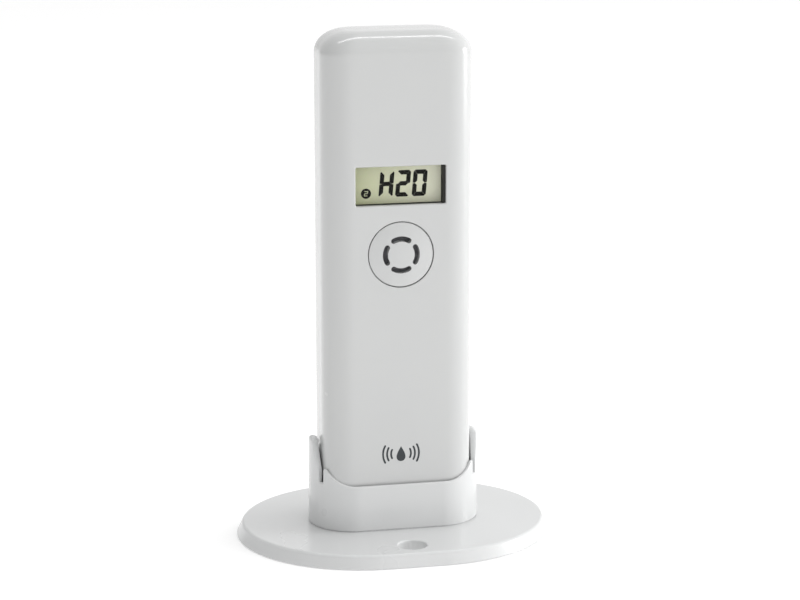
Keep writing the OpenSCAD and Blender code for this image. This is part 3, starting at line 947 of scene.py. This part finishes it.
def cup_columns():
    """One quarter of the holder's plan, from the middle of the round end to the middle
    of the front: the heart of curvature, the direction outwards and the rim height.
    The rim is flat in front, follows a concave arc up to a point, drops into the slit
    and rises again as the clip."""
    clip_y = np.linspace(0, SLIT_Y[0], 42)
    slit_y = np.array([SLIT_Y[0] + 0.02, SLIT_Y[1] - 0.02])
    point_y = np.array([SLIT_Y[1]])
    bend = np.linspace(math.asin(SLIT_Y[1] / CUP_D) + 0.02, np.pi / 2, 30)
    turn = np.concatenate([np.arcsin(np.concatenate([clip_y, slit_y, point_y]) / CUP_D), bend])
    straight = np.linspace(END_X, 0, 8)[1:]
    heart_x = np.concatenate([np.full(len(turn), END_X), straight])
    out_x = np.concatenate([np.cos(turn), np.zeros(len(straight))])
    out_y = np.concatenate([np.sin(turn), np.ones(len(straight))])
    x = heart_x + CUP_D * out_x
    y = CUP_D * out_y
    rise = np.clip(x - SWEEP_X, 0, SWEEP_R * 0.999)
    rim = np.minimum(RIM_Z + SWEEP_R - np.sqrt(SWEEP_R**2 - rise**2), POINT_Z)
    rim = np.where(y < SLIT_Y[1] - 0.001, SLIT_Z, rim)
    clip = CLIP_Z - np.interp(y, CLIP_EDGE_Y, CLIP_EDGE_Z)
    rim = np.where(y <= SLIT_Y[0] + 0.001, clip, rim)
    return heart_x, out_x, out_y, rim


def cup():
    """The holder as rings: up the outside, over the rounded rim, down the inside and
    onto the floor. Near a clip's tip the inside bulges towards the casing."""
    heart_x, out_x, out_y, rim = cup_columns()
    half = len(rim) - 1
    sign_x = np.concatenate([np.ones(half), -np.ones(half), -np.ones(half), np.ones(half)])
    sign_y = np.concatenate([np.ones(half), np.ones(half), -np.ones(half), -np.ones(half)])
    pick = np.concatenate([np.arange(half), np.arange(half, 0, -1)] * 2)
    heart = heart_x[pick] * sign_x
    out = np.stack([out_x[pick] * sign_x, out_y[pick] * sign_y], -1)
    top = rim[pick]
    y = np.abs(CUP_D * out[:, 1])
    on_clip = (y <= SLIT_Y[0] + 0.001) * (np.abs(heart) >= END_X - 1e-6)
    nub = NUB * ease((NUB_SIDE[0] - y) / NUB_SIDE[1]) * on_clip

    def thickness(z):
        swell = SWELL * on_clip * ease((z - SLIT_Z) / SWELL_UP)
        return CUP_WALL + swell + nub * ease((z - CLIP_Z + NUB_UP[0]) / NUB_UP[1])

    round_z = RIM_R + nub / 2
    thick = thickness(top)
    base, floor = FOOT_Z, CASE_Z
    rows_in, rows_z = [], []
    rows_z.extend([base + 0 * top, base + SEAM_UP[0] + 0 * top])
    rows_in.extend([SEAM_IN + 0 * top, SEAM_IN + 0 * top])
    for share in np.linspace(0, 1, 9):
        z = base + SEAM_UP[1] + (top - round_z - base - SEAM_UP[1]) * share
        rows_z.append(z)
        rows_in.append(DRAFT * (z - base) / (CLIP_Z - base))
    draft = rows_in[-1]
    for turn in np.linspace(0, np.pi, 13)[1:]:
        rows_in.append(draft + (thick - draft) / 2 * (1 - np.cos(turn)))
        rows_z.append(top - round_z + round_z * np.sin(turn))
    shoulder = top - round_z
    for share in np.concatenate([np.linspace(0.04, 0.4, 10), np.linspace(0.5, 1, 6)]):
        z = shoulder + (floor + FLOOR_R - shoulder) * share
        rows_z.append(z)
        rows_in.append(thickness(z))
    for turn in np.linspace(0, np.pi / 2, 5)[1:]:
        rows_z.append(floor + FLOOR_R * (1 - np.sin(turn)) + 0 * top)
        rows_in.append(CUP_WALL + FLOOR_R * (1 - np.cos(turn)) + 0 * top)
    rows_z.append(floor + 0 * top)
    rows_in.append(FLOOR_IN + 0 * top)
    reach = CUP_D - np.array(rows_in)
    x = heart + reach * out[:, 0]
    y = reach * out[:, 1]
    return solid(np.stack([x, y, np.array(rows_z)], -1))


holder = piece("holder_cradle", cup())
finish(holder, "stand", STAND_ABS, "stand_plastic", "holder_cup", smooth=50)

# ---------------------------------------------------------------- foot

step = 2 * np.pi * (np.arange(180) + 0.5) / 180
foot_outline = np.stack(
    [
        np.sign(np.cos(step)) * FOOT_STRAIGHT + (FOOT_W - FOOT_STRAIGHT) * np.cos(step),
        FOOT_D * np.sin(step),
    ],
    -1,
)
edge_turn = np.linspace(0, np.pi / 2, 8)
edge_z = FOOT_Z - FOOT_EDGE * (1 - np.sin(edge_turn))
edge_in = FOOT_SLANT * (FOOT_Z - FOOT_EDGE) / FOOT_Z + FOOT_EDGE * (1 - np.cos(edge_turn))
low_turn = np.linspace(0, np.pi / 2, 4)
low_z = FOOT_LOW[2] + FOOT_SOLE * (1 - np.cos(low_turn))
low_in = FOOT_SOLE * (1 - np.sin(low_turn))
hole_out, hole_up = lip(HOLE_EDGE, 7)
hole_z = np.concatenate([[-1], [0.2], FOOT_Z - HOLE_EDGE + hole_up, [FOOT_Z + 1]])
hole_r = HOLE_R + np.concatenate([[0], [0], hole_out, hole_out[-1:]])
PADS = [(x, y) for x in (-PAD_X, PAD_X) for y in (-PAD_Y, PAD_Y)]
PAD_R = (box_mm("foot_pads")[1][0] - PAD_X) + 0.05
BOSS = (1.2, 1.5)  # wall round a pad's recess, and round a screw hole

foot = piece(
    "foot_slab",
    upright(
        foot_outline,
        np.concatenate([low_z, edge_z]),
        np.concatenate([low_in, edge_in]),
    ),
)
carve(
    foot,
    "DIFFERENCE",
    upright(foot_outline * (1 - FOOT_RIM / np.array([FOOT_W, FOOT_D])), [-1, FOOT_Z - FOOT_SKIN]),
)
carve(
    foot,
    "UNION",
    *[turned(p, [PAD_R + BOSS[0]] * 2, [FOOT_LOW[2], FOOT_Z - 0.5], "z", 48) for p in PADS],
    *[
        turned((0, y), [HOLE_R + BOSS[1]] * 2, [FOOT_LOW[2], FOOT_Z - 0.6], "z", 64)
        for y in (-HOLE_Y, HOLE_Y)
    ],
)
carve(
    foot,
    "DIFFERENCE",
    *[turned((0, y), hole_r, hole_z, "z", 96) for y in (-HOLE_Y, HOLE_Y)],
    *[turned((x, 0), [FOOT_SCREW_R] * 2, [-1, FOOT_Z + 1], "z", 32) for x in FOOT_SCREW_X],
    *[turned(p, [PAD_R] * 2, [-1, PAD_RECESS], "z", 48) for p in PADS],
)
finish(foot, "stand", STAND_ABS, "stand_plastic", "foot_plate")

# ---------------------------------------------------------------- CAD nodes that show


CELL_ENDS = (0.9, 1.9)  # bare steel at the flat end and at the raised end
# Painted highlight: the top end of each cell's steel is painted paler, whichever end is raised.
CELL_TOP_HIGHLIGHT = 0.5  # how far past the jacket the steel turns paler
CELL_BODY = 37.5  # from the flat end to where the dark body ends
CELL_BAND = 13  # from the raised end to where the copper-coloured band ends


def cell_jacket(name, node, raised_up):
    """Printed film over a steel can: a dark body, a copper-coloured band towards the
    raised end, and bare metal at both ends. The steel at the top end is painted paler, a
    painted highlight."""
    low, high = box_mm(node)
    below, above = CELL_ENDS if raised_up else CELL_ENDS[::-1]
    change = CELL_BODY if raised_up else CELL_BAND
    film = ["#34383D", "#B9803F"] if raised_up else ["#B9803F", "#34383D"]
    z = [low[2], low[2] + below, low[2] + change, high[2] - above, high[2] - above + CELL_TOP_HIGHLIGHT]
    # The last, paler steel is the painted highlight at the top end.
    colours = ["#BFC3C6", *film, "#BFC3C6", "#C9CCCE"]
    return banded(name, "Z", list(zip(z, colours)), 0.3, 0.55)


CAD_FINISH = {
    "foot_pads": PAD_SILICONE,
    "foot_screws": PLATED_STEEL,
    "case_screws": PLATED_STEEL,
    "board_screws": PLATED_STEEL,
    "contact_springs": PLATED_STEEL,
    "link_contact": PLATED_STEEL,
    "plus_terminal": PLATED_STEEL,
    "minus_terminal": PLATED_STEEL,
    "lcd_window": CLEAR_PANE,
    "lcd_frame": INNER_ABS,
    "contact_strips": BLACK_FOAM,
    "sensor_gasket": BLACK_FOAM,
    "dust_filter": FILTER_FOAM,
    "humidity_sensor": BLACK_NYLON,
    "controller_chip": BLACK_NYLON,
    "probe_socket": BLACK_NYLON,
    "button_switch": BLACK_NYLON,
    "send_button": GREY_ABS,
    "radio_module": TINNED_SHIELD,
    "antenna_coil": COIL_COPPER,
    "circuit_board": BOARD,
    "cell_left": cell_jacket("printed_cell_jacket_left", "cell_left", True),
    "cell_right": cell_jacket("printed_cell_jacket_right", "cell_right", False),
}
for node, coat in CAD_FINISH.items():
    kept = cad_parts[node].data
    kept.materials.clear()
    kept.materials.append(coat)

# ---------------------------------------------------------------- floor, light, camera

# The floor glows a little, so that it stays an even white round the foot.
floor_material, _, floor_shader, _ = blank("white_studio_floor")
floor_shader.inputs["Base Color"].default_value = (0.96, 0.96, 0.96, 1)
floor_shader.inputs["Roughness"].default_value = 0.6
floor_shader.inputs["Specular IOR Level"].default_value = 0.2
floor_shader.inputs["Emission Color"].default_value = (1, 1, 1, 1)
floor_shader.inputs["Emission Strength"].default_value = 0.2
FLOOR_REACH = 9000.0
ground = piece(
    "studio_floor",
    block((-FLOOR_REACH, -FLOOR_REACH, -20), (FLOOR_REACH, FLOOR_REACH, -0.02)),
)
ground.data.materials.append(floor_material)

world = bpy.data.worlds.new("studio")
bpy.context.scene.world = world
world.use_nodes = True
sky = world.node_tree
sky.nodes.clear()
# The room's light: brightest on the right, a little brighter above and behind.
look = add(sky, "ShaderNodeTexCoord")
parts = add(sky, "ShaderNodeSeparateXYZ", links={"Vector": look.outputs["Generated"]})
sideways = add(
    sky, "ShaderNodeMath", {1: 0.44, 2: 0.74}, {0: parts.outputs["X"]}, operation="MULTIPLY_ADD"
)
upwards = add(
    sky,
    "ShaderNodeMath",
    {1: 0.06},
    {0: parts.outputs["Z"], 2: sideways.outputs[0]},
    operation="MULTIPLY_ADD",
)
behind = add(
    sky,
    "ShaderNodeMath",
    {1: 0.05},
    {0: parts.outputs["Y"], 2: upwards.outputs[0]},
    operation="MULTIPLY_ADD",
)
studio = add(
    sky,
    "ShaderNodeBackground",
    {"Color": (1, 1, 1, 1)},
    {"Strength": behind.outputs[0]},
)
add(sky, "ShaderNodeOutputWorld", links={"Surface": studio.outputs[0]})


def softbox(name, place, aim, size, power):
    """A rectangular area light at a place, turned to face a point; places and sizes in
    metres. Straight above, the first size runs in depth and the second from left to
    right."""
    light = bpy.data.lights.new(name, "AREA")
    light.shape = "RECTANGLE"
    light.size, light.size_y = size
    light.energy = power
    lamp = bpy.data.objects.new(name, light)
    bpy.context.scene.collection.objects.link(lamp)
    lamp.location = place
    lamp.rotation_euler = (Vector(aim) - Vector(place)).to_track_quat("-Z", "Y").to_euler()
    return lamp


softbox("side_softbox", (1.2, -0.25, 0.2), (0, 0, 0.06), (0.4, 0.5), 6)
softbox("top_softbox", (0.05, 0, 1.2), (0, 0, 0), (0.12, 1.2), 3)

TARGET = Vector((1.98, 0, 64.01)) * MM
DISTANCE = 642.5 * MM
SIDE, RISE = math.radians(12.15), math.radians(13.11)
back_way = Vector(
    (-math.sin(SIDE) * math.cos(RISE), -math.cos(SIDE) * math.cos(RISE), math.sin(RISE))
)
lens = bpy.data.cameras.new("camera")
lens.lens = 108
lens.sensor_width = 36
lens.clip_start = 0.01
lens.clip_end = 60
camera = bpy.data.objects.new("camera", lens)
bpy.context.scene.collection.objects.link(camera)
camera.location = TARGET + back_way * DISTANCE
camera.rotation_euler = (-back_way).to_track_quat("-Z", "Y").to_euler()
bpy.context.scene.camera = camera
bpy.context.scene.view_settings.view_transform = "Standard"
